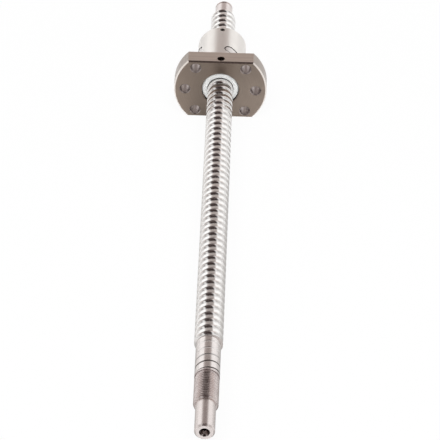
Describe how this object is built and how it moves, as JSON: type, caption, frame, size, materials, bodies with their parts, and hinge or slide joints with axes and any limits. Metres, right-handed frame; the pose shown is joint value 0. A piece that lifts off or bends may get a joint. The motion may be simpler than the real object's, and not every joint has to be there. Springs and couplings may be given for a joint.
{
  "type": "ball screw",
  "caption": "Steel ball screw: a long shaft with a rounded helical groove and turned ends, carrying a flanged recirculating ball nut that travels along it as it turns.",
  "frame": {"origin": "on the screw's axis, at the shoulder of the fixed-end bearing seat", "axes": "+Y along the screw's axis from the drive end to the supported end, +Z square to the flats of the nut's flange"},
  "size_m": [0.042, 0.3, 0.03],
  "materials": {
    "screw_steel": "polished",
    "nut_steel": "ground satin",
    "deflector_steel": "satin",
    "ball_steel": "polished",
    "wiper_plastic": "satin",
    "grub_steel": "black oxide"
  },
  "bodies": {
    "screw": {"screw_shaft": "screw_steel"},
    "front_wiper": {"front_wiper": "wiper_plastic"},
    "nut": {"nut_body": "nut_steel", "rear_wiper": "wiper_plastic", "rear_wiper_grub_screw": "grub_steel", "deflector_1": "deflector_steel", "deflector_2": "deflector_steel", "deflector_3": "deflector_steel", "ball_1_01": "ball_steel", "ball_1_02": "ball_steel", "ball_1_03": "ball_steel", "ball_1_04": "ball_steel", "ball_1_05": "ball_steel", "ball_1_06": "ball_steel", "ball_1_07": "ball_steel", "ball_1_08": "ball_steel", "ball_1_09": "ball_steel", "ball_1_10": "ball_steel", "ball_1_11": "ball_steel", "ball_1_12": "ball_steel", "ball_1_13": "ball_steel", "ball_1_14": "ball_steel", "ball_1_15": "ball_steel", "ball_2_01": "ball_steel", "ball_2_02": "ball_steel", "ball_2_03": "ball_steel", "ball_2_04": "ball_steel", "ball_2_05": "ball_steel", "ball_2_06": "ball_steel", "ball_2_07": "ball_steel", "ball_2_08": "ball_steel", "ball_2_09": "ball_steel", "ball_2_10": "ball_steel", "ball_2_11": "ball_steel", "ball_2_12": "ball_steel", "ball_2_13": "ball_steel", "ball_2_14": "ball_steel", "ball_2_15": "ball_steel", "ball_3_01": "ball_steel", "ball_3_02": "ball_steel", "ball_3_03": "ball_steel", "ball_3_04": "ball_steel", "ball_3_05": "ball_steel", "ball_3_06": "ball_steel", "ball_3_07": "ball_steel", "ball_3_08": "ball_steel", "ball_3_09": "ball_steel", "ball_3_10": "ball_steel", "ball_3_11": "ball_steel", "ball_3_12": "ball_steel", "ball_3_13": "ball_steel", "ball_3_14": "ball_steel", "ball_3_15": "ball_steel"}
  },
  "joints": [
    {"name": "nut_travel", "type": "slide", "parent": "screw", "child": "front_wiper", "axis": [0, 1, 0], "range_m": [-0.1761, 0.0241]},
    {"name": "nut_turn", "type": "hinge", "parent": "front_wiper", "child": "nut", "pos_m": [0, 0.1796, 0], "axis": [0, 1, 0], "range_deg": [-15840, 2160]}
  ],
  "couplings": [
    {"joint": "nut_travel", "follows": "nut_turn", "m_per_rad": 0.00063662}
  ]
}
